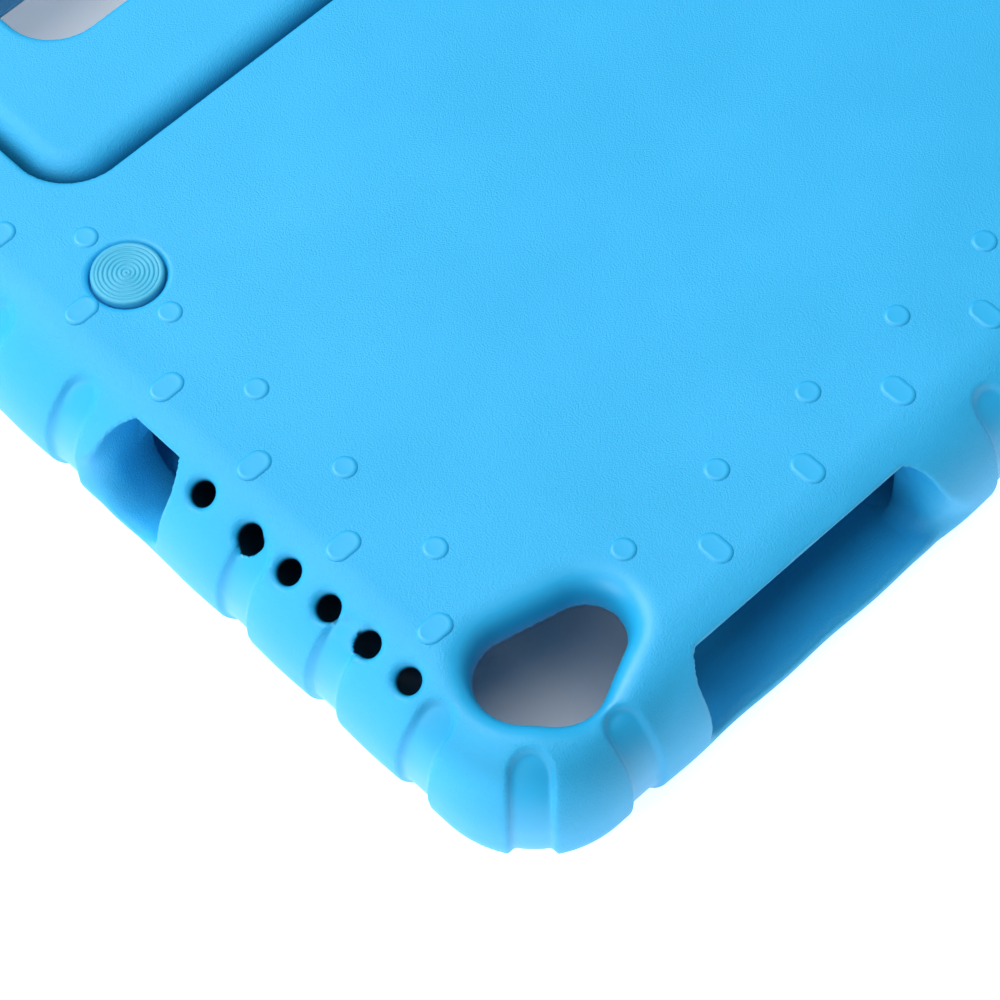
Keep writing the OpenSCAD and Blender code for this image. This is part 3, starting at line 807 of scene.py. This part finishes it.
def plastic_material(name, dark, light, roughness, scale=300):
    """Moulded plastic: faint flow marks in the colour and the gloss."""
    material, tree, shader, place = new_material(name)
    marks = noise(tree, place, scale, 3.0)
    tree.links.new(ramp(tree, marks, 0.3, 0.7, (dark, light)), shader.inputs["Base Color"])
    tree.links.new(
        scaled(tree, marks, roughness - 0.05, roughness + 0.05), shader.inputs["Roughness"])
    bump = tree.nodes.new("ShaderNodeBump")
    bump.inputs["Strength"].default_value = 0.15
    bump.inputs["Distance"].default_value = 0.00005
    tree.links.new(noise(tree, place, 4000), bump.inputs["Height"])
    tree.links.new(bump.outputs["Normal"], shader.inputs["Normal"])
    return material


def steel_material(name):
    """Zinc-plated steel with fine turning marks."""
    material = plastic_material(name, (0.55, 0.56, 0.58), (0.68, 0.69, 0.70), 0.32, 900)
    material.node_tree.nodes["Principled BSDF"].inputs["Metallic"].default_value = 1.0
    return material


def paint(obj, material, slot_name):
    """Gives the object one material; its slot_name is not used."""
    obj.data.materials.clear()
    obj.data.materials.append(material)


FOAM_COLOURS = ((0.012, 0.415, 0.79), (0.018, 0.440, 0.84))
FOAM = foam_material("foam_blue", *FOAM_COLOURS)
HANDLE_FOAM = foam_material("handle_blue", *FOAM_COLOURS)
PLUG = plastic_material("plug_blue", (0.045, 0.42, 0.66), (0.060, 0.45, 0.69), 0.45)
COVER = plastic_material("cover_blue", (0.055, 0.38, 0.72), (0.070, 0.42, 0.76), 0.42)
NYLON = plastic_material("nylon_blue", (0.02, 0.13, 0.35), (0.03, 0.16, 0.40), 0.45)
ACETAL = plastic_material("acetal_ivory", (0.78, 0.76, 0.68), (0.84, 0.82, 0.74), 0.3)
STEEL = steel_material("zinc_steel")

CAD_LOOKS = {
    "handle_core": (NYLON, "handle_core"),
    "hinge_bracket": (NYLON, "bracket_nylon"),
    "anchor_plate": (NYLON, "bracket_nylon"),
    "bracket_screws": (STEEL, "steel"),
    "hinge_pin": (STEEL, "steel"),
    "hinge_nut": (STEEL, "steel"),
    "friction_washers": (STEEL, "steel"),
    "hinge_bush": (ACETAL, "bush_acetal"),
    "hinge_covers": (COVER, "cover_plastic"),
    "strap_plug": (PLUG, "plug_plastic"),
    "plug_retainer": (NYLON, "plug_plastic"),
    "case_shell": (FOAM, "shell_foam"),
    "handle_foam": (HANDLE_FOAM, "handle_foam"),
}

for node_name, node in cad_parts.items():
    look = CAD_LOOKS.get(node_name) or CAD_LOOKS[node_name.rsplit("_", 1)[0]]
    paint(node, *look)

shell = build_shell()
paint(shell, FOAM, "shell_foam")
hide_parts("case_shell")
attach(shell, "case")

grip = build_handle()
paint(grip, HANDLE_FOAM, "handle_foam")
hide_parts("handle_foam")
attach(grip, "handle")

for side, word in ((-1, "left"), (1, "right")):
    plug = build_plug(side)
    paint(plug, PLUG, "plug_plastic")
    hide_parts(f"strap_plug_{word}")
    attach(plug, "case")
    covers = build_covers(side)
    paint(covers, COVER, "cover_plastic")
    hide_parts(f"hinge_covers_{word}")
    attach(covers, "case")


# ---------------------------------------------------------------- stage
def floor_material(name, glow):
    material, tree, shader, place = new_material(name)
    tint = ramp(tree, noise(tree, place, 3), 0.3, 0.7, ((0.93, 0.93, 0.93), (0.95, 0.95, 0.95)))
    tree.links.new(tint, shader.inputs["Base Color"])
    tree.links.new(tint, shader.inputs["Emission Color"])
    shader.inputs["Emission Strength"].default_value = glow
    shader.inputs["Roughness"].default_value = 0.7
    return material


def build_floor():
    """White floor. It glows a little, which keeps it white around the case: not under
    the case, but somewhat where the finger gap shows it."""
    half = FLOOR_HALF
    inner = ((HALF_L - FOOT_R) * MM, (HALF_W - FOOT_R) * MM)
    gap = (HANDLE_NEAR + BAR_W) * MM
    xs = (-half, -inner[0], inner[0], half)
    ys = (-half, -inner[1], gap - 0.01, gap + FINGER_GAP * MM + 0.01, inner[1], half)
    tile_looks = {(1, 1): 1, (1, 2): 2, (1, 3): 1}    # (column, row): material
    columns, rows = len(xs) - 1, len(ys) - 1
    faces, looks = [], []
    for j in range(rows):
        for k in range(columns):
            first = k + len(xs) * j
            faces.append((first, first + 1, first + len(xs) + 1, first + len(xs)))
            looks.append(tile_looks.get((k, j), 0))
    mesh = bpy.data.meshes.new("floor")
    mesh.from_pydata([(x, y, 0) for y in ys for x in xs], [], faces)
    mesh.materials.append(floor_material("floor_white", 0.85))
    mesh.materials.append(floor_material("floor_under_case", 0.0))
    mesh.materials.append(floor_material("floor_at_finger_gap", 0.3))
    mesh.polygons.foreach_set("material_index", looks)
    obj = bpy.data.objects.new("floor", mesh)
    bpy.context.scene.collection.objects.link(obj)
    obj.location.z = -FLOOR_DROP
    return obj


def area_light(name, place, target, size, power):
    data = bpy.data.lights.new(name, "AREA")
    data.size = size
    data.energy = power
    obj = bpy.data.objects.new(name, data)
    obj.location = place
    obj.rotation_euler = (Vector(target) - Vector(place)).to_track_quat("-Z", "Y").to_euler()
    bpy.context.scene.collection.objects.link(obj)
    return obj


def build_camera():
    """Camera from its azimuth, elevation and roll around a point on the back."""
    azimuth, elevation, roll = (
        math.radians(v) for v in (CAMERA_AZIMUTH, CAMERA_ELEVATION, CAMERA_ROLL))
    target = Vector(CAMERA_TARGET) * MM
    back = Vector((
        math.sin(azimuth) * math.cos(elevation),
        -math.cos(azimuth) * math.cos(elevation),
        math.sin(elevation)))
    right = Vector((math.cos(azimuth), math.sin(azimuth), 0))
    up = back.cross(right)
    turned_right = math.cos(roll) * right + math.sin(roll) * up
    turned_up = -math.sin(roll) * right + math.cos(roll) * up
    data = bpy.data.cameras.new("camera")
    data.sensor_width = CAMERA_SENSOR
    data.lens = CAMERA_LENS
    data.clip_start = 0.01
    obj = bpy.data.objects.new("camera", data)
    obj.matrix_world = Matrix.Translation(target + back * CAMERA_DISTANCE) @ Matrix((
        turned_right, turned_up, back)).transposed().to_4x4()
    bpy.context.scene.collection.objects.link(obj)
    bpy.context.scene.camera = obj


floor = build_floor()
lights = [area_light(name, place, LIGHT_AIM, size, power) for name, place, size, power in LIGHTS]
world = bpy.data.worlds.new("studio")
world.use_nodes = True
world.node_tree.nodes["Background"].inputs["Color"].default_value = WORLD_COLOUR
world.node_tree.nodes["Background"].inputs["Strength"].default_value = WORLD_STRENGTH
bpy.context.scene.world = world
bpy.context.scene.view_settings.view_transform = "Standard"
build_camera()
